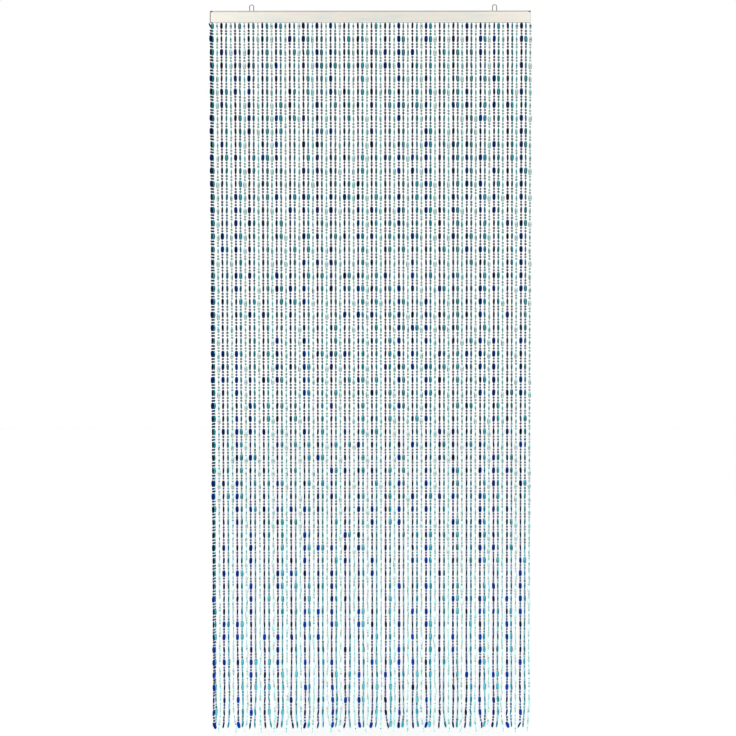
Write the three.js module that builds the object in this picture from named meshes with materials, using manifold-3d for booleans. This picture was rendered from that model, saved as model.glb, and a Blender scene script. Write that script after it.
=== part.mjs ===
// Bead curtain: strings of beads in three colours, hung from a slotted aluminium rail with two wire loops.
// Millimetres. +X runs along the rail, the front faces -Y, +Z is up.
// The origin is at mid-width, level with the inner top of the hanging loops.
import * as THREE from "three";
import { mergeVertices } from "three/addons/utils/BufferGeometryUtils.js";
import Module from "manifold-3d";

const wasm = await Module();
wasm.setup();

// Clearance between two pieces that touch on the real curtain.
const gap = 0.3;

// Vertices closer than this are one.
const weld = 1e-4;

const rail = {
  length: 900,
  height: 32,
  bodyDepth: 14,
  trackDepth: 10,
  trackHeight: 4,
  trackSlot: 4.8,
  trackLip: 1.4,
  trackHollow: 7.6,
  trackHollowHeight: 5.7,
  wall: 1.4,
  web: 1.4,
  channelSlot: 8.8,
  edge: 0.8,
};

const loop = {
  wire: 2,
  outerWidth: 14,
  rise: 18.5,
  footLength: 20,
  footDepth: 6.8,
  footHeight: 1.6,
  arcSteps: 12,
  wireSides: 8,
};
const loopPlaces = [
  { name: "loop_left", x: -334 },
  { name: "loop_right", x: 349 },
];

const stop = { length: 5.6, tongueDrop: 2.4 };

// Each carrier strip is a thin upright fin. The outer two have a ledge that rests on the channel's lips,
// and the middle one a cap that rests on the outer two.
const strip = {
  spacing: 2.75,
  thickness: 2.4,
  top: 6,
  ledgeReach: 1.25,
  ledgeHeight: 1.5,
  capReach: 2.7,
  capHeight: 1.5,
  recess: 0.2,
  endMargin: 1,
};

const strings = {
  count: 72,
  pitch: 12.78,
  lastX: 450,
  neck: 1.1,
  neckLength: 1.2,
  shoulderLength: 4.4,
  halfWidth: 2.9,
  length: 2000,
  straight: 1449,
  lowerSteps: 18,
};

// One row for each colour: its place in depth, its colour, and how much longer it hangs.
const colours = [
  { name: "strings_blue", side: -1, color: 0x0b2a9c, extra: 0 },
  { name: "strings_turquoise", side: 0, color: 0x1aa5c4, extra: 0 },
  { name: "strings_clear", side: 1, color: 0xb9dede, extra: 14 },
];

// The strings hang straight, then wander sideways and in depth, veer near the hem and kick out at the end.
// The phases set how that differs from string to string.
const sway = {
  wanderReach: 1.6,
  wanderLength: 300,
  wanderPhase: 3,
  depthReach: 2.5,
  depthPhase: 5,
  veerReach: 3,
  veerStart: 1799,
  veerPhase: 2,
  kickReach: 7,
  kickStart: 1943,
  kickPhase: 3,
  phaseSpread: 3,
  spread: 4,
};

// Two waves across the strings' numbers, which together make each string lean its own way.
const slowWave = { share: 0.6, rate: 0.93, phaseRate: 1 };
const quickWave = { share: 0.4, rate: 2.41, phaseRate: 2.7 };

// The first string comes out just past the rail's end and leans in below it, in front of its neighbour.
const endString = { hangX: -448.4, hookX: -455, leanDrop: 13, forward: 4.6 };

// Levels, from the loops' inner top downwards.
const railTop = loop.wire - loop.rise;
const shoulder = railTop - rail.trackHeight;
const railBottom = railTop - rail.height;
const hollowTop = railTop - rail.trackLip;
const hollowFloor = hollowTop - rail.trackHollowHeight;
const webUnder = hollowFloor - rail.web;
const lipTop = railBottom + rail.wall;
const railEnd = rail.length / 2;
const stripEnd = railEnd - strip.endMargin;

const finishes = {
  aluminium: { color: 0xe6e1d4, roughness: 0.4, metalness: 0.9 },
  steel: { color: 0x9a9894, roughness: 0.35, metalness: 1 },
  stop: { color: 0x9a9996, roughness: 0.6, metalness: 0 },
};

const curtain = new THREE.Group();

// A mesh of the group, from a geometry and the values of its material.
function addPiece(name, geometry, finish) {
  const mesh = new THREE.Mesh(geometry, new THREE.MeshStandardMaterial(finish));
  mesh.name = name;
  curtain.add(mesh);
}

// A closed geometry as a solid that can be joined and cut.
function toSolid(geometry) {
  const bare = geometry.clone();
  bare.deleteAttribute("normal");
  bare.deleteAttribute("uv");
  const merged = mergeVertices(bare, weld);
  return new wasm.Manifold(
    new wasm.Mesh({
      numProp: 3,
      vertProperties: new Float32Array(merged.attributes.position.array),
      triVerts: new Uint32Array(merged.index.array),
    }),
  );
}

// A solid back as a geometry.
function toGeometry(solid) {
  const mesh = solid.getMesh();
  const geometry = new THREE.BufferGeometry();
  geometry.setAttribute("position", new THREE.BufferAttribute(mesh.vertProperties, 3));
  geometry.setIndex(new THREE.BufferAttribute(mesh.triVerts, 1));
  geometry.computeVertexNormals();
  return geometry;
}

// An outline of [y, z] points carried along X from one end to the other.
function alongX(outline, fromX, toX) {
  const shape = new THREE.Shape(outline.map(([y, z]) => new THREE.Vector2(y, z)));
  const geometry = new THREE.ExtrudeGeometry(shape, { depth: toX - fromX, bevelEnabled: false });
  const turn = new THREE.Matrix4().makeBasis(
    new THREE.Vector3(0, 1, 0),
    new THREE.Vector3(0, 0, 1),
    new THREE.Vector3(1, 0, 0),
  );
  geometry.applyMatrix4(turn);
  geometry.translate(fromX, 0, 0);
  return geometry;
}

// The outline of one side, followed by the same points on the other side in reverse.
function bothSides(half) {
  const mirrored = half.map(([y, z]) => [-y, z]).reverse();
  return [...half, ...mirrored];
}

// A box between two corners.
function boxBetween(low, high) {
  const size = high.map((value, axis) => value - low[axis]);
  const middle = high.map((value, axis) => (value + low[axis]) / 2);
  return new THREE.BoxGeometry(...size).translate(...middle);
}

// The rail's section: a slotted track over a deeper channel that is open below.
function railOutline() {
  const body = rail.bodyDepth / 2;
  const inside = body - rail.wall;
  const outside = [
    [rail.trackSlot / 2, hollowTop],
    [rail.trackSlot / 2, railTop],
    [rail.trackDepth / 2, railTop],
    [rail.trackDepth / 2, shoulder],
    [body - rail.edge, shoulder],
    [body, shoulder - rail.edge],
    [body, railBottom + rail.edge],
    [body - rail.edge, railBottom],
    [rail.channelSlot / 2, railBottom],
    [rail.channelSlot / 2, lipTop],
    [inside, lipTop],
    [inside, webUnder],
  ];
  const hollow = [
    [rail.trackHollow / 2, hollowFloor],
    [rail.trackHollow / 2, hollowTop],
  ];
  const leftHollow = hollow.map(([y, z]) => [-y, z]).reverse();
  return [...bothSides(outside), ...leftHollow, ...hollow];
}

// The rail, its track cut short at both ends for the stops.
function railGeometry() {
  let solid = toSolid(alongX(railOutline(), -railEnd, railEnd));
  const reach = rail.bodyDepth / 2;
  const cutLength = stop.length + gap;
  for (const side of [-1, 1]) {
    const ends = [side * (railEnd + 1), side * (railEnd - cutLength)];
    const low = [Math.min(...ends), -reach, shoulder];
    const high = [Math.max(...ends), reach, railTop + 1];
    solid = solid.subtract(toSolid(boxBetween(low, high)));
  }
  return toGeometry(solid);
}

// An end stop: a block on the rail's shoulder with a tongue in the track's hollow.
function stopGeometry(side) {
  const half = [
    [rail.trackHollow / 2 - gap, shoulder - stop.tongueDrop],
    [rail.trackHollow / 2 - gap, shoulder + gap],
    [rail.trackDepth / 2, shoulder + gap],
    [rail.trackDepth / 2, railTop],
  ];
  const ends = [side * railEnd, side * (railEnd - stop.length)];
  return alongX(bothSides(half), Math.min(...ends), Math.max(...ends));
}

// A hanging loop: a wire arch whose two legs end in a flat foot under the track's lips.
function loopGeometry(centreX) {
  const radius = (loop.outerWidth - loop.wire) / 2;
  const footTop = hollowTop - gap;
  const legLow = footTop - loop.footHeight / 2;
  const archCentre = loop.wire / 2 - radius;
  const points = [new THREE.Vector3(centreX - radius, 0, legLow)];
  for (let step = 0; step <= loop.arcSteps; step++) {
    const angle = Math.PI * (1 - step / loop.arcSteps);
    const x = centreX + radius * Math.cos(angle);
    points.push(new THREE.Vector3(x, 0, archCentre + radius * Math.sin(angle)));
  }
  points.push(new THREE.Vector3(centreX + radius, 0, legLow));
  const wire = toSolid(rodThrough(points, loop.wire / 2, loop.wireSides));
  const foot = boxBetween(
    [centreX - loop.footLength / 2, -loop.footDepth / 2, footTop - loop.footHeight],
    [centreX + loop.footLength / 2, loop.footDepth / 2, footTop],
  );
  return toGeometry(wire.add(toSolid(foot)));
}

// A rod with flat sides through points that lie in one XZ plane.
function rodThrough(points, radius, sides) {
  const rings = points.map((point, index) => {
    const before = points[Math.max(index - 1, 0)];
    const after = points[Math.min(index + 1, points.length - 1)];
    const heading = new THREE.Vector3().subVectors(after, before).normalize();
    const across = new THREE.Vector3(heading.z, 0, -heading.x);
    const depth = new THREE.Vector3(0, 1, 0);
    const ring = [];
    for (let side = 0; side < sides; side++) {
      const angle = (2 * Math.PI * side) / sides;
      const offset = across.clone().multiplyScalar(radius * Math.cos(angle));
      offset.addScaledVector(depth, radius * Math.sin(angle));
      ring.push(point.clone().add(offset));
    }
    return ring;
  });
  return skin(rings);
}

// A closed surface over a row of rings that all have the same number of points.
function skin(rings) {
  const sides = rings[0].length;
  const positions = rings.flat().flatMap((point) => [point.x, point.y, point.z]);
  const index = [];
  for (let ring = 0; ring < rings.length - 1; ring++) {
    for (let side = 0; side < sides; side++) {
      const a = ring * sides + side;
      const b = ring * sides + ((side + 1) % sides);
      index.push(a, b, b + sides, a, b + sides, a + sides);
    }
  }
  const end = (rings.length - 1) * sides;
  for (let side = 1; side < sides - 1; side++) {
    index.push(0, side + 1, side);
    index.push(end, end + side, end + side + 1);
  }
  const geometry = new THREE.BufferGeometry();
  geometry.setAttribute("position", new THREE.Float32BufferAttribute(positions, 3));
  geometry.setIndex(index);
  return geometry;
}

// 0 until the start, then rising smoothly to 1 at the end, and 1 after it.
function ease(value, start, end) {
  const share = Math.min(Math.max((value - start) / (end - start), 0), 1);
  return share * share;
}

// A number from -1 to 1 that differs from string to string.
function lean(number, phase) {
  const waves = [slowWave, quickWave];
  const heights = waves.map((wave) => wave.share * Math.sin(wave.rate * number + wave.phaseRate * phase));
  return heights[0] + heights[1];
}

// Where a string's middle line is at a drop below the rail.
function stringPoint(number, colour, drop) {
  const wander = ease(drop, strings.straight, strings.length);
  const veer = ease(drop, sway.veerStart, strings.length);
  const kick = ease(drop, sway.kickStart, strings.length);
  const turn = (2 * Math.PI * drop) / sway.wanderLength;
  let x = strings.lastX - strings.pitch * (strings.count - 1 - number);
  let y = colour.side * (strip.spacing + sway.spread * wander);
  if (number === 0) {
    const leaning = 1 - Math.min(drop / endString.leanDrop, 1);
    x = endString.hangX + (endString.hookX - endString.hangX) * leaning;
    y -= endString.forward * (1 - leaning);
  }
  x += sway.wanderReach * wander * Math.sin(turn + sway.phaseSpread * lean(number, sway.wanderPhase));
  x += sway.veerReach * veer * lean(number, sway.veerPhase);
  x += sway.kickReach * kick * lean(number, sway.kickPhase);
  y += sway.depthReach * wander * Math.sin(turn + sway.phaseSpread * lean(number, sway.depthPhase));
  return new THREE.Vector3(x, y, railBottom - drop);
}

// One string as a slim four-sided strand, necked in where it joins its strip.
function strandGeometry(number, colour) {
  const length = strings.length + colour.extra;
  const rootDrop = -strip.recess - strip.top / 2;
  const stations = [
    { drop: rootDrop, half: strings.neck, hangs: 0 },
    { drop: strings.neckLength, half: strings.neck, hangs: strings.neckLength },
    { drop: strings.neckLength + strings.shoulderLength, half: strings.halfWidth },
  ];
  if (number === 0) {
    stations.push({ drop: endString.leanDrop + strings.shoulderLength, half: strings.halfWidth });
  }
  for (let step = 0; step <= strings.lowerSteps; step++) {
    const share = step / strings.lowerSteps;
    stations.push({ drop: strings.straight + (length - strings.straight) * share, half: strings.halfWidth });
  }
  const rings = stations.map(({ drop, half, hangs = drop }) => {
    const centre = stringPoint(number, colour, hangs);
    const z = railBottom - drop;
    if (drop < 0) centre.x = Math.min(Math.max(centre.x, half - stripEnd), stripEnd - half);
    return [
      new THREE.Vector3(centre.x + half, centre.y, z),
      new THREE.Vector3(centre.x, centre.y - half, z),
      new THREE.Vector3(centre.x - half, centre.y, z),
      new THREE.Vector3(centre.x, centre.y + half, z),
    ];
  });
  return skin(rings);
}

// A carrier strip's outline: a fin with a ledge on its outer side, or with a cap on both sides.
function stripOutline(side) {
  const centre = side * strip.spacing;
  const half = strip.thickness / 2;
  const low = railBottom + strip.recess;
  const high = low + strip.top;
  if (side === 0) {
    const underCap = high + gap;
    return bothSides([
      [half, low],
      [half, underCap],
      [half + strip.capReach, underCap],
      [half + strip.capReach, underCap + strip.capHeight],
    ]);
  }
  const ledgeLow = lipTop + gap;
  const outer = centre + side * half;
  const inner = centre - side * half;
  return [
    [inner, low],
    [outer, low],
    [outer, ledgeLow],
    [outer + side * strip.ledgeReach, ledgeLow],
    [outer + side * strip.ledgeReach, ledgeLow + strip.ledgeHeight],
    [outer, ledgeLow + strip.ledgeHeight],
    [outer, high],
    [inner, high],
  ];
}

// All strings of one colour with the strip that carries them.
function stringSetGeometry(colour) {
  const first = colours.indexOf(colour);
  let solid = toSolid(alongX(stripOutline(colour.side), -stripEnd, stripEnd));
  const strands = [];
  for (let number = first; number < strings.count; number += colours.length) {
    strands.push(toSolid(strandGeometry(number, colour)));
  }
  solid = wasm.Manifold.union([solid, ...strands]);
  return toGeometry(solid);
}

addPiece("rail", railGeometry(), finishes.aluminium);
addPiece("stop_left", stopGeometry(-1), finishes.stop);
addPiece("stop_right", stopGeometry(1), finishes.stop);
for (const place of loopPlaces) {
  addPiece(place.name, loopGeometry(place.x), finishes.steel);
}
for (const colour of colours) {
  addPiece(colour.name, stringSetGeometry(colour), { color: colour.color, roughness: 0.2, metalness: 0 });
}

export default curtain;
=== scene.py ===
import bpy
import numpy as np
from mathutils import Matrix, Vector


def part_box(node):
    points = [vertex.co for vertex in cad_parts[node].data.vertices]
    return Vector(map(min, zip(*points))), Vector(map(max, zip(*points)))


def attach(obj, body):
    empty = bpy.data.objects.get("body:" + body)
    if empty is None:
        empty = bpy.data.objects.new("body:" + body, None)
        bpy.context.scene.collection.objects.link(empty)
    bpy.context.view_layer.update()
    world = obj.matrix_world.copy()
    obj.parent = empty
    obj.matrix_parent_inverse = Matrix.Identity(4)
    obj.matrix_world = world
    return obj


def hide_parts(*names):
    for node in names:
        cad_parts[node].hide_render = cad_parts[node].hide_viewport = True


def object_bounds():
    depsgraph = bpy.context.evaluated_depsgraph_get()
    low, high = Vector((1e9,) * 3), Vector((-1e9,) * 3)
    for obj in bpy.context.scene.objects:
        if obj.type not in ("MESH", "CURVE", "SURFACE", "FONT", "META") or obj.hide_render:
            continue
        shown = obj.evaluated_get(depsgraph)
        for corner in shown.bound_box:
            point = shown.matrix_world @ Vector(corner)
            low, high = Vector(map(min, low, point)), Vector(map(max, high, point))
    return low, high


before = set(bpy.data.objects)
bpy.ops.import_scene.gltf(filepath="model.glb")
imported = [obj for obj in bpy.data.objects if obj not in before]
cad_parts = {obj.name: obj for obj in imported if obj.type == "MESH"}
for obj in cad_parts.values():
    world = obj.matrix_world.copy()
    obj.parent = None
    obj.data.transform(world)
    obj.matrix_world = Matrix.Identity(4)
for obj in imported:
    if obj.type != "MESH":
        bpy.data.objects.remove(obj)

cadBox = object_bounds()
mm = 0.001

# The camera stands in front of the curtain, a little above its middle, and looks slightly down.
cameraView = {
    "place": (-0.0165, -3.7, -0.91),
    "tiltDown": 1.707,
    "turnRight": 0.126,
    "rollLeft": -0.075,
    "lens": 63.88,
    "sensor": 36.0,
}

# The photo is contrasty: a gamma below 1 darkens what isn't white.
contrast = 0.75

# Noise lies mostly between these two values, so ramps on it run from the one to the other.
noiseRange = (0.3, 0.7)

# The share of its edge's radius that a rounded bar keeps at its very ends.
barEndShare = 0.3

# Corners and levels of the rail, taken from its solid.
railLow, railHigh = (np.array(corner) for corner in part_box("rail"))
railBottom = railLow[2]
railTop = railHigh[2]

# How the strings hang: the same route as their solids, so the beads sit on it.
hang = {
    "count": 72,
    "pitch": 12.78 * mm,
    "lastX": 450 * mm,
    "length": 2000 * mm,
    "straight": 1449 * mm,
    "spacing": 2.75 * mm,
    "spread": 4 * mm,
    "wanderReach": 1.6 * mm,
    "wanderLength": 300 * mm,
    "wanderPhase": 3,
    "depthReach": 2.5 * mm,
    "depthPhase": 5,
    "phaseSpread": 3,
    "veerReach": 3 * mm,
    "veerStart": 1799 * mm,
    "veerPhase": 2,
    "kickReach": 7 * mm,
    "kickStart": 1943 * mm,
    "kickPhase": 3,
    "endHangX": -448.4 * mm,
    "endHookX": -455 * mm,
    "endLeanDrop": 13 * mm,
    "endForward": 4.6 * mm,
    "upStep": 2 * mm,
}

# Two waves across the strings' numbers: how strong, how quick, and how far a phase shifts them.
leanWaves = ((0.6, 0.93, 1.0), (0.4, 2.41, 2.7))

# The order of the beads down a string. The top oval of each is a little smaller and hangs lower.
threading = {
    "seed": 72,
    "ovals": 55,
    "firstDrop": 9.2 * mm,
    "repeat": 36.89 * mm,
    "drawnUp": 11.3 * mm,
    "drawnUpPower": 6,
    "spoolApart": 4.05 * mm,
    "jitter": 0.35 * mm,
    "topSize": 0.92,
    "topLower": 0.6 * mm,
    "topLiftReach": 70 * mm,
    "toneSpread": 0.4,
    "sizeLimit": 0.04,
    "hemLightGainPower": 3,
}

# One row for each colour of string: its first string, its side of the channel, and how much longer
# its repeat is.
colourRows = (
    {"name": "blue", "first": 0, "side": -1, "stretch": 1.0},
    {"name": "turquoise", "first": 1, "side": 0, "stretch": 1.0},
    {"name": "clear", "first": 2, "side": 1, "stretch": 1.007},
)


# A camera from a place and three turns: its view axis is tilted down, turned and rolled.
def makeCamera(view):
    tilt, turn, roll = (np.radians(view[key]) for key in ("tiltDown", "turnRight", "rollLeft"))
    ahead = Vector((np.sin(turn) * np.cos(tilt), np.cos(turn) * np.cos(tilt), -np.sin(tilt)))
    right = Vector((np.cos(turn), -np.sin(turn), 0))
    up = right.cross(ahead)
    rolledRight = right * np.cos(roll) + up * np.sin(roll)
    rolledUp = up * np.cos(roll) - right * np.sin(roll)
    camera = bpy.data.objects.new("camera", bpy.data.cameras.new("camera"))
    camera.matrix_world = Matrix.Translation(view["place"]) @ Matrix(
        (rolledRight, rolledUp, -ahead)
    ).transposed().to_4x4()
    camera.data.lens = view["lens"]
    camera.data.sensor_width = view["sensor"]
    bpy.context.scene.collection.objects.link(camera)
    bpy.context.scene.camera = camera


# 0 up to the start, then the square of the share of the way to the end, and 1 after it.
def ease(value, start, end):
    return np.clip((value - start) / (end - start), 0, 1) ** 2


# A value from -1 to 1 for each string: the sum of two waves across the strings' numbers.
def lean(number, phase):
    return sum(share * np.sin(rate * number + shift * phase) for share, rate, shift in leanWaves)


# The middle line of strings: the place at each string number and drop below the rail. It is a plumb
# line with a slow wave, a veer and a kick added, each by its own ease. The end string leans in from
# its hook and hangs a little forward.
def stringPoint(number, side, drop):
    wander = ease(drop, hang["straight"], hang["length"])
    veer = ease(drop, hang["veerStart"], hang["length"])
    kick = ease(drop, hang["kickStart"], hang["length"])
    turn = 2 * np.pi * drop / hang["wanderLength"]
    isEnd = number == 0
    leaning = np.where(isEnd, 1 - np.clip(drop / hang["endLeanDrop"], 0, 1), 0)
    x = hang["lastX"] - hang["pitch"] * (hang["count"] - 1 - number)
    x = np.where(isEnd, hang["endHangX"] + (hang["endHookX"] - hang["endHangX"]) * leaning, x)
    sway = turn + hang["phaseSpread"] * lean(number, hang["wanderPhase"])
    x = x + hang["wanderReach"] * wander * np.sin(sway)
    x = x + hang["veerReach"] * veer * lean(number, hang["veerPhase"])
    x = x + hang["kickReach"] * kick * lean(number, hang["kickPhase"])
    y = side * (hang["spacing"] + hang["spread"] * wander)
    y = y - np.where(isEnd, hang["endForward"] * (1 - leaning), 0)
    sway = turn + hang["phaseSpread"] * lean(number, hang["depthPhase"])
    y = y + hang["depthReach"] * wander * np.sin(sway)
    return np.stack([x, y, railBottom - drop + 0 * x], axis=-1)


# The drops of the ovals of one colour: even repeats, drawn up towards the hem by a power of the share
# of the way down.
def ovalDrops(stretch):
    row = np.arange(threading["ovals"])
    share = row / (threading["ovals"] - 1)
    drawn = threading["drawnUp"] * share ** threading["drawnUpPower"]
    return threading["firstDrop"] + threading["repeat"] * stretch * row - drawn


# The upward direction of a string at each drop: the step between two near points of its middle line.
def stringUp(number, side, drop):
    step = hang["upStep"]
    along = stringPoint(number, side, drop - step) - stringPoint(number, side, drop + step)
    return along / np.linalg.norm(along, axis=-1, keepdims=True)


# A mesh object from points and faces of any corner count, put in as whole arrays.
def makeMesh(name, points, faceGroups, smooth=True):
    corners = np.concatenate([faces.reshape(-1) for faces in faceGroups])
    sizes = np.concatenate([np.full(len(faces), faces.shape[1]) for faces in faceGroups])
    starts = np.concatenate([[0], np.cumsum(sizes)[:-1]])
    mesh = bpy.data.meshes.new(name)
    mesh.vertices.add(len(points))
    mesh.vertices.foreach_set("co", np.asarray(points, dtype=np.float32).reshape(-1))
    mesh.loops.add(len(corners))
    mesh.loops.foreach_set("vertex_index", corners.astype(np.int32))
    mesh.polygons.add(len(sizes))
    mesh.polygons.foreach_set("loop_start", starts.astype(np.int32))
    mesh.polygons.foreach_set("use_smooth", np.full(len(sizes), smooth))
    mesh.update(calc_edges=True)
    mesh.validate()
    piece = bpy.data.objects.new(name, mesh)
    bpy.context.scene.collection.objects.link(piece)
    return piece


# Closed skins over tubes of rings. The array holds tube, ring, side and place, and each ring turns
# right-handed about the way its tube runs. Both ends get one flat face.
def skinTubes(name, rings, smooth=True):
    tubes, count, sides = rings.shape[:3]
    tube = (np.arange(tubes) * count * sides)[:, None, None]
    base = tube + (np.arange(count - 1) * sides)[None, :, None]
    side = np.arange(sides)[None, None]
    after = (side + 1) % sides
    quads = np.stack([base + side, base + after, base + sides + after, base + sides + side], axis=-1)
    first = tube[:, 0] + np.arange(sides)[None]
    last = first + (count - 1) * sides
    return makeMesh(name, rings.reshape(-1, 3), [quads.reshape(-1, 4), first[:, ::-1], last], smooth)


# A bar along X between two corners, with rounded long edges: one rectangle with three points at each
# rounded corner, at four places, the outer two drawn in so that the ends are eased as well.
def roundedBar(low, high, edge):
    low, high = np.array(low, dtype=float), np.array(high, dtype=float)
    middle, half = (low + high) / 2, (high - low) / 2
    quarter = np.repeat(np.arange(4), 3)
    angle = np.pi / 2 * (quarter + np.tile([0, 0.5, 1], 4))
    diagonal = np.pi / 2 * (quarter + 0.5)
    corner = np.sign(np.stack([np.cos(diagonal), np.sin(diagonal)], axis=-1)) * (half[1:] - edge)
    rounding = np.stack([np.cos(angle), np.sin(angle)], axis=-1)
    places = np.array([low[0], low[0] + edge, high[0] - edge, high[0]])
    radii = edge * np.array([barEndShare, 1, 1, barEndShare])
    across = middle[1:] + corner[None] + rounding[None] * radii[:, None, None]
    along = np.broadcast_to(places[:, None, None], across.shape[:2] + (1,))
    return np.concatenate([along, across], axis=-1)


# Gives a piece its material and the body it rides, and hides the node it stands for.
def finishPiece(piece, material, node):
    piece.data.materials.append(material)
    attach(piece, "root")
    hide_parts(node)


# A closed form of revolution or a flattened one: rings of points between two poles.
# Each ring is the profile's radius times the two half widths, at the profile's height.
def beadForm(radii, heights, sides, halfWide, halfThick, poleHeight):
    angle = 2 * np.pi * np.arange(sides) / sides
    ringX = radii[:, None] * np.cos(angle)[None] * halfWide
    ringY = radii[:, None] * np.sin(angle)[None] * halfThick
    ringZ = np.repeat(heights[:, None], sides, axis=1)
    rings = np.stack([ringX, ringY, ringZ], axis=-1).reshape(-1, 3)
    points = np.concatenate([rings, [[0, 0, poleHeight], [0, 0, -poleHeight]]])
    count = len(radii)
    side = np.arange(sides)
    after = (side + 1) % sides
    ring = np.arange(count - 1)[:, None] * sides
    quads = np.stack([ring + side, ring + sides + side, ring + sides + after, ring + after], axis=-1)
    top = np.stack([np.full(sides, count * sides), side, after], axis=-1)
    last = (count - 1) * sides
    bottom = np.stack([np.full(sides, count * sides + 1), last + after, last + side], axis=-1)
    return points, quads.reshape(-1, 4), np.concatenate([top, bottom])


# Many copies of one bead form as one mesh: each is turned about its string, tipped along it and moved
# to its place, and keeps a tone of its own in an attribute, with painted light in it.
def threadBeads(name, form, places, ups, turns, sizes, tonesAndLight):
    points, quads, triangles = form
    across = np.array([1.0, 0, 0]) - ups[:, :1] * ups
    across /= np.linalg.norm(across, axis=1, keepdims=True)
    behind = np.cross(ups, across)
    cosTurn, sinTurn = np.cos(turns)[:, None], np.sin(turns)[:, None]
    wideAxis = across * cosTurn + behind * sinTurn
    thickAxis = behind * cosTurn - across * sinTurn
    axes = np.stack([wideAxis, thickAxis, ups], axis=1) * sizes[:, None, None]
    allPoints = places[:, None, :] + np.einsum("vk,nkj->nvj", points, axes)
    offset = (np.arange(len(places)) * len(points))[:, None, None]
    groups = [(quads[None] + offset).reshape(-1, 4), (triangles[None] + offset).reshape(-1, 3)]
    piece = makeMesh(name, allPoints.reshape(-1, 3), groups)
    toneAndLight = piece.data.attributes.new("toneAndLight", "FLOAT", "POINT")
    toneAndLight.data.foreach_set("value", np.repeat(tonesAndLight, len(points)).astype(np.float32))
    return piece


# A material whose node tree holds only a shader and its output.
def newMaterial(name):
    material = bpy.data.materials.new(name)
    material.use_nodes = True
    nodes = material.node_tree.nodes
    return material, nodes, material.node_tree.links, nodes["Principled BSDF"]


# A colour ramp node with stops given as place and colour, in rising order.
def addRamp(nodes, stops):
    ramp = nodes.new("ShaderNodeValToRGB")
    elements = ramp.color_ramp.elements
    while len(elements) < len(stops):
        elements.new(0.5)  # placed below
    for element, (place, colour) in zip(elements, stops):
        element.position = place
        element.color = (*colour, 1)
    return ramp


# Noise on stretched object coordinates: fine where the stretch is high, long where it is low.
def addNoise(nodes, links, stretch, detail):
    coordinates = nodes.new("ShaderNodeTexCoord")
    mapping = nodes.new("ShaderNodeMapping")
    mapping.inputs["Scale"].default_value = stretch
    noise = nodes.new("ShaderNodeTexNoise")
    noise.inputs["Scale"].default_value = 1
    noise.inputs["Detail"].default_value = detail
    links.new(coordinates.outputs["Object"], mapping.inputs["Vector"])
    links.new(mapping.outputs["Vector"], noise.inputs["Vector"])
    return noise


# A bump from a noise, with its strength and the height that it stands for.
def addBump(nodes, links, shader, noise, strength, distance):
    bump = nodes.new("ShaderNodeBump")
    bump.inputs["Strength"].default_value = strength
    bump.inputs["Distance"].default_value = distance
    links.new(noise.outputs["Fac"], bump.inputs["Height"])
    links.new(bump.outputs["Normal"], shader.inputs["Normal"])


# A base colour that runs from the dull to the pale with a noise.
def addShades(nodes, links, shader, noise, dull, pale):
    ramp = addRamp(nodes, tuple(zip(noiseRange, (dull, pale))))
    links.new(noise.outputs["Fac"], ramp.inputs["Fac"])
    links.new(ramp.outputs["Color"], shader.inputs["Base Color"])


# A node that carries one range of values to another in a straight line, held at both ends.
def addRange(nodes, start, end, low, high):
    mapped = nodes.new("ShaderNodeMapRange")
    for key, value in (("From Min", start), ("From Max", end), ("To Min", low), ("To Max", high)):
        mapped.inputs[key].default_value = value
    return mapped


# A node for one operation on its values.
def addMath(nodes, operation):
    node = nodes.new("ShaderNodeMath")
    node.operation = operation
    return node


# A roughness that follows a noise between two values.
def addRoughness(nodes, links, shader, noise, smoothest, roughest):
    rough = addRange(nodes, 0, 1, smoothest, roughest)
    links.new(noise.outputs["Fac"], rough.inputs["Value"])
    links.new(rough.outputs["Result"], shader.inputs["Roughness"])


# Translucent plastic: light is tinted where it enters and leaves, and more the deeper the bead is.
# The tone attribute shifts the tint from bead to bead, partly at random and partly as painted light:
# it is paler for ovals facing the front, and it grows by the hem gain towards the hem as painted light
# from the floor, and by the top lift in the first few rows.
beadGlass = {
    "blue": {
        "ovals": {
            "pale": (0.005, 0.20, 0.60),
            "deep": (0.001, 0.012, 0.04),
            "density": 400,
            "hemLightGain": 1.1,
        },
        "spools": {
            "pale": (0.01, 0.22, 0.58),
            "deep": (0.001, 0.006, 0.03),
            "density": 600,
            "hemLightGain": 3.0,
        },
        "absorb": (0.01, 0.32, 0.76),
        "mirror": (0.20, 0.28, 0.42),
        "topLift": 0.0,
        "ior": 1.49,
        "roughness": 0.04,
    },
    "turquoise": {
        "ovals": {
            "pale": (0.22, 0.67, 0.71),
            "deep": (0.02, 0.45, 0.49),
            "density": 130,
            "hemLightGain": 1.0,
        },
        "spools": {
            "pale": (0.28, 0.84, 0.87),
            "deep": (0.002, 0.04, 0.055),
            "density": 230,
            "hemLightGain": 3.6,
        },
        "absorb": (0.05, 0.60, 0.72),
        "mirror": (0.45, 0.65, 0.68),
        "topLift": 0.3,
        "ior": 1.49,
        "roughness": 0.04,
    },
    "clear": {
        "ovals": {
            "pale": (0.88, 0.95, 0.935),
            "deep": (0.51, 0.83, 0.81),
            "density": 18,
            "hemLightGain": 0.2,
        },
        "spools": {
            "pale": (0.82, 0.93, 0.91),
            "deep": (0.32, 0.54, 0.52),
            "density": 70,
            "hemLightGain": 0.3,
        },
        "absorb": (0.35, 0.75, 0.74),
        "mirror": (0.8, 0.9, 0.9),
        "topLift": 0.7,
        "ior": 1.30,
        "roughness": 0.03,
    },
}


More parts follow.
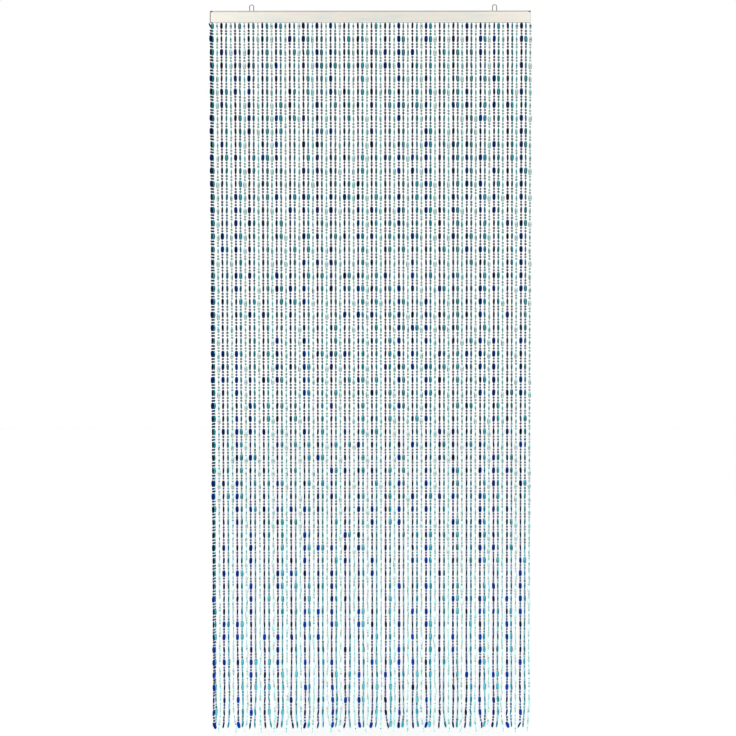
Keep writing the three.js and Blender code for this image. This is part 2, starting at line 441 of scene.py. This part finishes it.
def makeBeadMaterial(colour, kind):
    look = beadGlass[colour]
    tint = look[kind]
    material, nodes, links, shader = newMaterial(f"{colour}_{kind}_plastic")
    shader.inputs["Transmission Weight"].default_value = 1
    shader.inputs["IOR"].default_value = look["ior"]
    shader.inputs["Specular Tint"].default_value = (*look["mirror"], 1)
    shader.inputs["Roughness"].default_value = look["roughness"]
    toneAndLight = nodes.new("ShaderNodeAttribute")
    toneAndLight.attribute_name = "toneAndLight"
    ramp = addRamp(nodes, ((0.0, tint["deep"]), (1.0, tint["pale"])))
    links.new(toneAndLight.outputs["Fac"], ramp.inputs["Fac"])
    links.new(ramp.outputs["Color"], shader.inputs["Base Color"])
    absorb = nodes.new("ShaderNodeVolumeAbsorption")
    absorb.inputs["Color"].default_value = (*look["absorb"], 1)
    absorb.inputs["Density"].default_value = tint["density"]
    links.new(absorb.outputs["Volume"], nodes["Material Output"].inputs["Volume"])
    return material


# Flat oval beads, nearly twice as wide as thick. Some face the front and are painted paler, as painted
# light for the thinner plastic the light goes through, and the rest stand edge on. The tones are the
# lowest of the first kind and the highest of the second.
ovalBead = {
    "halfLength": 9.4 * mm,
    "halfWide": 4.65 * mm,
    "halfThick": 2.55 * mm,
    "sides": 8,
    "rings": 6,
    "fullness": 0.6,
    "faceOnShare": 0.3,
    "faceOnReach": 0.25,
    "faceOnPhase": 7,
    "faceOnSpread": 0.35,
    "edgeOnSpread": 0.45,
    "faceOnPaintedLightTone": 0.8,
    "edgeOnTone": 0.6,
    "tip": 0.03,
    "hemTip": 0.10,
    "sizeSpread": 0.015,
}

# Spool beads: wide at both rims, drawn in at the waist and domed at the ends.
# Each row of the profile is a share of the rim's radius and of the half length.
spoolBead = {
    "halfLength": 2.6 * mm,
    "rim": 3.3 * mm,
    "sides": 6,
    "profile": ((1.0, 0.84), (0.84, 0.38), (0.75, 0.0), (0.84, -0.38), (1.0, -0.84)),
    "tip": 0.07,
    "sizeSpread": 0.03,
}


# Rings at even angles from pole to pole: the height is the angle's cosine, and the radius a power of
# its sine, which makes the ends blunt.
def ovalForm():
    angle = np.pi * (np.arange(ovalBead["rings"]) + 1) / (ovalBead["rings"] + 1)
    radii = np.sin(angle) ** ovalBead["fullness"]
    pole = ovalBead["halfLength"]
    heights = pole * np.cos(angle)
    return beadForm(radii, heights, ovalBead["sides"], ovalBead["halfWide"], ovalBead["halfThick"], pole)


# The profile turned about the string, with both half widths the rim's radius.
def spoolForm():
    profile = np.array(spoolBead["profile"])
    rim, pole = spoolBead["rim"], spoolBead["halfLength"]
    return beadForm(profile[:, 0], profile[:, 1] * pole, spoolBead["sides"], rim, rim, pole)


# Tips each upward direction by a small random step and makes it one long again. The step's spread is
# given bead by bead.
def tipped(ups, amount, random):
    loose = ups + random.normal(0, amount, ups.shape)
    return loose / np.linalg.norm(loose, axis=1, keepdims=True)


# The string numbers and drops of all beads of one kind, as two flat arrays. Spools stand in pairs,
# evenly about the middle between two ovals.
def beadGrid(row, kind):
    numbers = np.arange(row["first"], hang["count"], len(colourRows))
    drops = ovalDrops(row["stretch"])
    if kind == "spools":
        middles = (drops[1:] + drops[:-1]) / 2
        apart = threading["spoolApart"]
        drops = np.sort(np.concatenate([middles - apart, middles + apart]))
    grid = np.meshgrid(numbers, drops, indexing="ij")
    return grid[0].reshape(-1), grid[1].reshape(-1)


# All beads of one kind and colour: each drop is shaken a little, and turn, tone and size are random.
# The tone is multiplied by one plus the hem gain times a power of the share of the way down, which is
# painted light that makes beads paler towards the hem, and the top lift is added, fading with the drop.
def makeBeads(row, kind, random):
    bead, form = (ovalBead, ovalForm()) if kind == "ovals" else (spoolBead, spoolForm())
    number, drop = beadGrid(row, kind)
    isTop = drop < threading["repeat"] / 2
    drop = drop + random.uniform(-1, 1, len(drop)) * threading["jitter"]
    drop = drop + isTop * threading["topLower"]
    places = stringPoint(number, row["side"], drop)
    loose = bead["tip"] + 0 * drop
    turns = random.uniform(0, 2 * np.pi, len(drop))
    tonesAndLight = random.uniform(0, 1, len(drop))
    if kind == "ovals":
        chance = bead["faceOnShare"] + bead["faceOnReach"] * lean(number, bead["faceOnPhase"])
        faceOn = random.uniform(0, 1, len(drop)) < chance
        edgeTurns = np.pi / 2 + random.normal(0, bead["edgeOnSpread"], len(drop))
        turns = np.where(faceOn, random.normal(0, bead["faceOnSpread"], len(drop)), edgeTurns)
        # Painted light: beads facing the front get paler tones than those edge on.
        tonesAndLight = np.where(faceOn, bead["faceOnPaintedLightTone"] + tonesAndLight, bead["edgeOnTone"] * tonesAndLight)
        loose = loose + bead["hemTip"] * ease(drop, hang["veerStart"], hang["length"])
    tonesAndLight = tonesAndLight * threading["toneSpread"]
    look = beadGlass[row["name"]]
    # Painted light: tones grow towards the hem, as if lit from the floor below.
    share = (drop / hang["length"]) ** threading["hemLightGainPower"]
    tonesAndLight = tonesAndLight * (1 + look[kind]["hemLightGain"] * share)
    tonesAndLight = tonesAndLight + look["topLift"] * np.exp(-drop / threading["topLiftReach"])
    ups = tipped(stringUp(number, row["side"], drop), loose[:, None], random)
    limit = threading["sizeLimit"]
    sizes = 1 + random.normal(0, bead["sizeSpread"], len(drop)).clip(-limit, limit)
    sizes = np.where(isTop, threading["topSize"], sizes)
    piece = threadBeads(f"{kind}_{row['name']}", form, places, ups, turns, sizes, tonesAndLight)
    material = makeBeadMaterial(row["name"], kind)
    finishPiece(piece, material, f"strings_{row['name']}")


# Thread: a thin line down each string, thicker at the knot in the middle of each oval. Each row of the
# knot's profile is a share of its half length and of its half width.
thread = {
    "half": 0.13 * mm,
    "knotHalf": 1.3 * mm,
    "knotLength": 3.0 * mm,
    "knotProfile": ((-1.0, 0.0), (-0.5, 1.0), (0.5, 0.8), (1.0, 0.0)),
    "topKnot": {"blue": 0.0, "turquoise": 0.2, "clear": 0.7},
    "topKnotRows": 1.6,
    "sides": 3,
    "above": 2 * mm,
    "tail": 11 * mm,
    "grain": 900,
    "grainDetail": 2,
    "darker": 0.7,
    "lighter": 1.3,
    "roughness": 0.45,
    "colours": {"blue": (0.30, 0.36, 0.50), "turquoise": (0.30, 0.44, 0.46), "clear": (0.06, 0.05, 0.04)},
}


# A tube round each string's middle line: rings of a few points at chosen drops, closed at both ends.
# The knots are larger in the top rows, by a share that fades with the row.
def makeThreads(row):
    numbers = np.arange(row["first"], hang["count"], len(colourRows))
    ovals = ovalDrops(row["stretch"])
    profile = np.array(thread["knotProfile"])
    offsets = profile[:, 0] * thread["knotLength"] / 2
    knotHalves = profile[:, 1] * thread["knotHalf"]
    grown = 1 + thread["topKnot"][row["name"]] * np.exp(-np.arange(len(ovals)) / thread["topKnotRows"])
    knots = (ovals[:, None] + offsets[None] * grown[:, None]).reshape(-1)
    drops = np.concatenate([[-thread["above"]], knots, [ovals[-1] + thread["tail"]]])
    halves = np.maximum(knotHalves[None] * grown[:, None], thread["half"]).reshape(-1)
    radii = np.concatenate([[thread["half"]], halves, [thread["half"]]])
    number, drop = np.meshgrid(numbers, drops, indexing="ij")
    centres = stringPoint(number, row["side"], drop)
    angle = 2 * np.pi * np.arange(thread["sides"]) / thread["sides"]
    around = np.stack([np.cos(angle), -np.sin(angle), 0 * angle], axis=-1)
    rings = centres[:, :, None, :] + around[None, None] * radii[None, :, None, None]
    piece = skinTubes(f"threads_{row['name']}", rings)
    material, nodes, links, shader = newMaterial(f"{row['name']}_thread")
    grain = addNoise(nodes, links, (thread["grain"],) * 3, thread["grainDetail"])
    colour = np.array(thread["colours"][row["name"]])
    addShades(nodes, links, shader, grain, colour * thread["darker"], colour * thread["lighter"])
    shader.inputs["Roughness"].default_value = thread["roughness"]
    finishPiece(piece, material, f"strings_{row['name']}")


# Carriers: a thin plastic fin for each colour in the rail's channel, the outer two with a ledge on the
# channel's lips and the middle one with a cap over both, and a small clip under the fin at each string.
carrier = {
    "thickness": 2.4 * mm,
    "height": 6 * mm,
    "recess": 0.2 * mm,
    "endMargin": 1 * mm,
    "lip": 1.4 * mm,
    "gap": 0.3 * mm,
    "ledgeReach": 1.25 * mm,
    "ledgeHeight": 1.5 * mm,
    "capReach": 2.7 * mm,
    "edge": 0.25 * mm,
    "clipLength": 6.4 * mm,
    "clipDepth": 2.2 * mm,
    "clipDrop": 1.1 * mm,
    "clipEdge": 0.5 * mm,
    "pale": (0.78, 0.80, 0.78),
    "dull": (0.60, 0.62, 0.61),
    "clipPale": (0.60, 0.63, 0.62),
    "clipDull": (0.46, 0.48, 0.48),
}


# The fin and its ledge or cap as two bars, for a colour's side of the channel.
def carrierBars(side):
    end = railHigh[0] - carrier["endMargin"]
    middle, half = side * hang["spacing"], carrier["thickness"] / 2
    low = railBottom + carrier["recess"]
    high = low + carrier["height"]
    fin = roundedBar((-end, middle - half, low), (end, middle + half, high), carrier["edge"])
    if side == 0:
        reach = half + carrier["capReach"]
        over = high + carrier["gap"]
        shelf = (-end, -reach, over), (end, reach, over + carrier["ledgeHeight"])
    else:
        outer = middle + side * half
        reach = outer + side * carrier["ledgeReach"]
        under = railBottom + carrier["lip"] + carrier["gap"]
        shelf = (-end, min(outer, reach), under), (end, max(outer, reach), under + carrier["ledgeHeight"])
    return np.stack([fin, roundedBar(*shelf, carrier["edge"])])


# One clip a string: a short bar across the fin's lower edge, centred on the string.
def clipBars(row):
    numbers = np.arange(row["first"], hang["count"], len(colourRows))
    places = stringPoint(numbers, row["side"], 0.0 * numbers)
    half = np.array([carrier["clipLength"], carrier["clipDepth"]]) / 2
    limit = railHigh[0] - half[0]
    places[:, 0] = places[:, 0].clip(-limit, limit)
    low, high = (-half[0], -half[1], -carrier["clipDrop"]), (half[0], half[1], 0)
    form = roundedBar(low, high, carrier["clipEdge"])
    places[:, 2] = railBottom
    return places[:, None, None, :] + form[None]


# The strip and the clips of one colour, each a piece of its own.
def makeCarriers(row):
    strip = skinTubes(f"carrier_{row['name']}", carrierBars(row["side"]), smooth=False)
    stripLook = makePlasticMaterial(f"{row['name']}_carrier", carrier["dull"], carrier["pale"])
    finishPiece(strip, stripLook, f"strings_{row['name']}")
    clips = skinTubes(f"clips_{row['name']}", clipBars(row), smooth=False)
    clipLook = makePlasticMaterial(f"{row['name']}_clip", carrier["clipDull"], carrier["clipPale"])
    finishPiece(clips, clipLook, f"strings_{row['name']}")


# Moulded plastic: faint clouds between two colours, fine grain in the height.
mouldedPlastic = {
    "clouds": 160,
    "cloudDetail": 3,
    "grain": 2600,
    "grainDetail": 2,
    "roughness": 0.5,
    "bump": 0.25,
    "bumpHeight": 0.05 * mm,
}


def makePlasticMaterial(name, dull, pale):
    look = mouldedPlastic
    material, nodes, links, shader = newMaterial(name)
    clouds = addNoise(nodes, links, (look["clouds"],) * 3, look["cloudDetail"])
    addShades(nodes, links, shader, clouds, dull, pale)
    shader.inputs["Roughness"].default_value = look["roughness"]
    grain = addNoise(nodes, links, (look["grain"],) * 3, look["grainDetail"])
    addBump(nodes, links, shader, grain, look["bump"], look["bumpHeight"])
    return material


# Hanging loops: a round wire bent to an arch, its legs ending in a flat foot under the track's lips.
loopLook = {
    "wire": 2 * mm,
    "arcSteps": 28,
    "legSteps": 6,
    "drawIn": 1.3 * mm,
    "sides": 12,
    "outerWidth": 14 * mm,
    "footHeight": 1.6 * mm,
    "footEdge": 0.35 * mm,
    "pale": (0.46, 0.45, 0.43),
    "dull": (0.26, 0.26, 0.25),
    "clouds": 420,
    "cloudDetail": 4,
    "smoothest": 0.3,
    "roughest": 0.5,
    "bump": 0.2,
    "bumpHeight": 0.05 * mm,
}


# The arch: a leg, half a circle and the other leg, with a circle across the path at each point. The legs
# come together a little towards the foot, by the square of the share of the way down.
def archRings(middle, top, legLow):
    radius = (loopLook["outerWidth"] - loopLook["wire"]) / 2
    centre = top - loopLook["wire"] / 2 - radius
    angle = np.pi * (1 - np.arange(loopLook["arcSteps"] + 1) / loopLook["arcSteps"])
    share = 1 - np.arange(loopLook["legSteps"]) / loopLook["legSteps"]
    legX = radius - loopLook["drawIn"] * share**2
    legZ = centre + (legLow - centre) * share
    x = np.concatenate([-legX, radius * np.cos(angle), legX[::-1]]) + middle
    z = np.concatenate([legZ, centre + radius * np.sin(angle), legZ[::-1]])
    path = np.stack([x, 0 * x, z], axis=-1)
    heading = np.gradient(path, axis=0)
    heading /= np.linalg.norm(heading, axis=1, keepdims=True)
    across = np.stack([heading[:, 2], 0 * x, -heading[:, 0]], axis=-1)
    turn = 2 * np.pi * np.arange(loopLook["sides"]) / loopLook["sides"]
    sideways = np.cos(turn)[None, :, None] * across[:, None]
    circle = sideways + np.sin(turn)[None, :, None] * np.array([0, 1.0, 0])
    return path[:, None] + circle * loopLook["wire"] / 2


# The arch from its solid's top down into the foot, and the foot as a bar of its solid's outline.
def makeLoop(node):
    low, high = (np.array(corner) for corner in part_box(node))
    middle = (low[0] + high[0]) / 2
    footTop = low[2] + loopLook["footHeight"]
    look = makeSteelMaterial(f"{node}_steel")
    rings = archRings(middle, high[2], low[2] + loopLook["footHeight"] / 2)
    finishPiece(skinTubes(f"{node}_wire", rings[None]), look, node)
    foot = roundedBar(low, (high[0], high[1], footTop), loopLook["footEdge"])
    finishPiece(skinTubes(f"{node}_foot", foot[None], smooth=False), look, node)


# Drawn steel wire: grey clouds, and a roughness that changes with them.
def makeSteelMaterial(name):
    material, nodes, links, shader = newMaterial(name)
    shader.inputs["Metallic"].default_value = 1
    clouds = addNoise(nodes, links, (loopLook["clouds"],) * 3, loopLook["cloudDetail"])
    addShades(nodes, links, shader, clouds, loopLook["dull"], loopLook["pale"])
    addRoughness(nodes, links, shader, clouds, loopLook["smoothest"], loopLook["roughest"])
    addBump(nodes, links, shader, clouds, loopLook["bump"], loopLook["bumpHeight"])
    return material


# End stops: a block on the rail's shoulder, a tongue in the track and a thin cover on the rail's end,
# which is painted dark on the left as shade and pale on the right as light: one cover in a shaded and a
# lit copy.
stopLook = {
    "edge": 0.5 * mm,
    "coverBeyond": {"stop_left": 0.8 * mm, "stop_right": 0.3 * mm},
    "coverOver": 1.2 * mm,
    "coverProud": 0.35 * mm,
    "coverEdge": 0.1 * mm,
    "coverPaleShadedLeftLitRight": {"stop_left": (0.26, 0.26, 0.25), "stop_right": (0.86, 0.86, 0.84)},
    "coverDullShadedLeftLitRight": {"stop_left": (0.18, 0.18, 0.17), "stop_right": (0.76, 0.76, 0.74)},
    "tongueInset": 1.5 * mm,
    "rise": 0.3 * mm,
    "trackHeight": 4 * mm,
    "pale": (0.26, 0.26, 0.25),
    "dull": (0.18, 0.18, 0.17),
}


# Rounded bars: the block and its tongue fill the solid, and the cover laps the rail's end by a little.
def makeStop(node):
    low, high = (np.array(corner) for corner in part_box(node))
    shoulder = high[2] - stopLook["trackHeight"]
    side = np.sign(low[0])
    inset = np.array([0, stopLook["tongueInset"], 0])
    block = roundedBar((low[0], low[1], shoulder + stopLook["rise"]), high, stopLook["edge"])
    tongueHigh = (high[0], high[1] - inset[1], shoulder + 2 * stopLook["rise"])
    tongue = roundedBar(low + inset, tongueHigh, stopLook["edge"])
    cap = skinTubes(f"{node}_cap", np.stack([block, tongue]), smooth=False)
    capLook = makePlasticMaterial(f"{node}_plastic", stopLook["dull"], stopLook["pale"])
    finishPiece(cap, capLook, node)
    end = side * railHigh[0]
    ends = sorted([end - side * stopLook["coverOver"], end + side * stopLook["coverBeyond"][node]])
    proud = stopLook["coverProud"]
    coverLow = (ends[0], railLow[1] - proud, railBottom - proud)
    coverHigh = (ends[1], railHigh[1] + proud, shoulder + stopLook["rise"])
    form = roundedBar(coverLow, coverHigh, stopLook["coverEdge"])
    cover = skinTubes(f"{node}_cover", form[None], smooth=False)
    # The cover's colours by side are painted shade on the left and painted light on the right.
    dull, pale = stopLook["coverDullShadedLeftLitRight"][node], stopLook["coverPaleShadedLeftLitRight"][node]
    coverLook = makePlasticMaterial(f"{node}_cover", dull, pale)
    finishPiece(cover, coverLook, node)


# White all round for the eye, and for the beads a room that is bright in front and behind, has a
# softer light overhead, and is dim at the sides, so that the beads' edges read dark.
studio = {
    "bright": 0.95,
    "dim": 0.04,
    "from": 0.55,
    "to": 0.96,
    "overhead": 0.7,
    "overFrom": 0.6,
    "overTo": 0.95,
}


# The world's strength: 1 for the camera, and for other rays the larger of a rise with the share of Y
# in their direction and a rise with the share of Z.
def makeStudio():
    world = bpy.data.worlds.new("studio")
    bpy.context.scene.world = world
    world.use_nodes = True
    nodes, links = world.node_tree.nodes, world.node_tree.links
    background = nodes["Background"]
    coordinates = nodes.new("ShaderNodeTexCoord")
    parts = nodes.new("ShaderNodeSeparateXYZ")
    depth = addMath(nodes, "ABSOLUTE")
    bright = addRange(nodes, studio["from"], studio["to"], studio["dim"], studio["bright"])
    over = addRange(nodes, studio["overFrom"], studio["overTo"], 0, studio["overhead"])
    room = addMath(nodes, "MAXIMUM")
    seen = addMath(nodes, "MAXIMUM")
    path = nodes.new("ShaderNodeLightPath")
    links.new(coordinates.outputs["Generated"], parts.inputs["Vector"])
    links.new(parts.outputs["Y"], depth.inputs[0])
    links.new(depth.outputs["Value"], bright.inputs["Value"])
    links.new(parts.outputs["Z"], over.inputs["Value"])
    links.new(bright.outputs["Result"], room.inputs[0])
    links.new(over.outputs["Result"], room.inputs[1])
    links.new(room.outputs["Value"], seen.inputs[0])
    links.new(path.outputs["Is Camera Ray"], seen.inputs[1])
    links.new(seen.outputs["Value"], background.inputs["Strength"])
    background.inputs["Color"].default_value = (1, 1, 1, 1)


# A wide pale floor just under the hem. For the eye its glow makes it as white as the world behind it;
# for the beads it is brightest near the curtain, so that they lighten towards the hem.
floor = {
    "halfSize": 12.0,
    "below": 45 * mm,
    "colour": (0.92, 0.92, 0.92),
    "glow": 0.61,
    "glowNear": 1.2,
    "glowFar": 0.45,
    "near": 0.6,
    "far": 5.0,
    "roughness": 0.9,
}


# One square face. Its glow is one value for the camera, and for other rays it falls with the distance
# in front of or behind the curtain.
def makeFloor():
    level = cadBox[0][2] - floor["below"]
    square = np.array([[-1, -1], [1, -1], [1, 1], [-1, 1]]) * floor["halfSize"]
    corners = np.column_stack([square, np.full(len(square), level)])
    piece = makeMesh("floor", corners, [np.array([[0, 1, 2, 3]])], smooth=False)
    material, nodes, links, shader = newMaterial("floor_paint")
    shader.inputs["Base Color"].default_value = (*floor["colour"], 1)
    shader.inputs["Roughness"].default_value = floor["roughness"]
    shader.inputs["Emission Color"].default_value = (1, 1, 1, 1)
    path = nodes.new("ShaderNodeLightPath")
    coordinates = nodes.new("ShaderNodeTexCoord")
    place = nodes.new("ShaderNodeSeparateXYZ")
    away = addMath(nodes, "ABSOLUTE")
    beadGlow = addRange(nodes, floor["near"], floor["far"], floor["glowNear"], floor["glowFar"])
    glow = addRange(nodes, 0, 1, 0, floor["glow"])  # its low end is the glow for the beads
    links.new(coordinates.outputs["Object"], place.inputs["Vector"])
    links.new(place.outputs["Y"], away.inputs[0])
    links.new(away.outputs["Value"], beadGlow.inputs["Value"])
    links.new(beadGlow.outputs["Result"], glow.inputs["To Min"])
    links.new(path.outputs["Is Camera Ray"], glow.inputs["Value"])
    links.new(glow.outputs["Result"], shader.inputs["Emission Strength"])
    piece.data.materials.append(material)


# Soft lamps: one wide panel to each side in front.
lamps = (
    {"place": (-1.8, -2.6, 0.4), "aim": (0, 0, -1.0), "size": 1.6, "power": 9.4},
    {"place": (1.9, -2.6, 0.3), "aim": (0, 0, -1.0), "size": 1.6, "power": 8.2},
)


# Square lamps, each turned so that it shines along the line from its place to its aim.
def makeLamps():
    for index, lamp in enumerate(lamps):
        light = bpy.data.objects.new(f"lamp_{index}", bpy.data.lights.new(f"lamp_{index}", "AREA"))
        light.data.size = lamp["size"]
        light.data.energy = lamp["power"]
        light.location = lamp["place"]
        direction = Vector(lamp["aim"]) - Vector(lamp["place"])
        light.rotation_euler = direction.to_track_quat("-Z", "Y").to_euler()
        bpy.context.scene.collection.objects.link(light)


# Satin aluminium: long streaks along the rail in colour, roughness and height, over wide clouds of hue.
# Zones by height: a greyer track on top as painted shade in its recess, a lighter line below it as a
# painted highlight along the face's top edge, and a cooler band at the bottom as painted shade with a
# dim painted reflection of the beads on the rounded bottom edge.
railMetal = {
    "warm": (1.0, 0.97, 0.88),
    "cool": (0.92, 0.94, 0.905),
    "rosy": (0.99, 0.93, 0.90),
    "hueStops": (0.3, 0.5, 0.72),
    "clouds": (9.0, 30.0, 60.0),
    "cloudDetail": 3,
    "streaks": (3.0, 300.0, 420.0),
    "streakDetail": 4,
    "smoothest": 0.32,
    "roughest": 0.5,
    # Painted shade: the recessed track is greyed as if in shadow.
    "trackShade": (0.62, 0.61, 0.60),
    # Painted highlight: a lighter line where the face's top edge catches the light.
    "highlightLine": (1.0, 0.99, 0.98),
    "face": (0.935, 0.935, 0.935),
    # Painted shade and reflection: a cooler, darker band on the rounded bottom edge.
    "bandShadeAndReflection": (0.89, 0.905, 0.925),
    "trackHeight": 2.6 * mm,
    "highlightBelow": 2.0 * mm,
    "highlightHeight": 3.2 * mm,
    "bandHeight": 5 * mm,
    "blur": 0.6 * mm,
    "bump": 0.08,
    "bumpHeight": 0.1 * mm,
}


# Places on a ramp from the rail's bottom to its top, with the colour that multiplies the metal there:
# painted shade on the track and the bottom band, and a painted highlight on the line.
def railZones():
    height = railTop - railBottom
    shoulder = railTop - railMetal["trackHeight"]
    highlightTop = shoulder - railMetal["highlightBelow"]
    levels = (
        (railBottom + railMetal["bandHeight"], "bandShadeAndReflection", "face"),
        (highlightTop - railMetal["highlightHeight"], "face", "highlightLine"),
        (highlightTop, "highlightLine", "face"),
        (shoulder, "face", "trackShade"),
    )
    stops = [
        ((level + step * railMetal["blur"] - railBottom) / height, railMetal[zone])
        for level, below, above in levels
        for step, zone in ((-0.5, below), (0.5, above))
    ]
    return tuple(stops)


# The metal's colour is the clouds' hue times the zone's colour at that height, which paints shade and a
# highlight into it.
def makeRailMaterial():
    material, nodes, links, shader = newMaterial("rail_satin")
    shader.inputs["Metallic"].default_value = 1
    clouds = addNoise(nodes, links, railMetal["clouds"], railMetal["cloudDetail"])
    hues = (railMetal["cool"], railMetal["warm"], railMetal["rosy"])
    colours = addRamp(nodes, tuple(zip(railMetal["hueStops"], hues)))
    links.new(clouds.outputs["Fac"], colours.inputs["Fac"])
    place = nodes.new("ShaderNodeSeparateXYZ")
    coordinates = nodes.new("ShaderNodeTexCoord")
    links.new(coordinates.outputs["Object"], place.inputs["Vector"])
    share = addRange(nodes, railBottom, railTop, 0, 1)
    links.new(place.outputs["Z"], share.inputs["Value"])
    zones = addRamp(nodes, railZones())
    links.new(share.outputs["Result"], zones.inputs["Fac"])
    tinted = nodes.new("ShaderNodeVectorMath")
    tinted.operation = "MULTIPLY"
    links.new(colours.outputs["Color"], tinted.inputs[0])
    links.new(zones.outputs["Color"], tinted.inputs[1])
    links.new(tinted.outputs["Vector"], shader.inputs["Base Color"])
    streaks = addNoise(nodes, links, railMetal["streaks"], railMetal["streakDetail"])
    addRoughness(nodes, links, shader, streaks, railMetal["smoothest"], railMetal["roughest"])
    addBump(nodes, links, shader, streaks, railMetal["bump"], railMetal["bumpHeight"])
    return material


# Gives a solid that is shown as it is its material, in place of the plain one.
def dressNode(node, material):
    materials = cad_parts[node].data.materials
    materials.clear()
    materials.append(material)


makeCamera(cameraView)
makeStudio()
makeFloor()
makeLamps()
print("camera, light and floor made")

random = np.random.default_rng(threading["seed"])
for row in colourRows:
    makeBeads(row, "ovals", random)
    makeBeads(row, "spools", random)
    makeThreads(row)
    makeCarriers(row)
    print(f"{row['name']} strings made")

for node in ("loop_left", "loop_right"):
    makeLoop(node)
for node in ("stop_left", "stop_right"):
    makeStop(node)
dressNode("rail", makeRailMaterial())
print("rail, loops and stops made")

bpy.context.scene.view_settings.view_transform = "Standard"
bpy.context.scene.view_settings.gamma = contrast
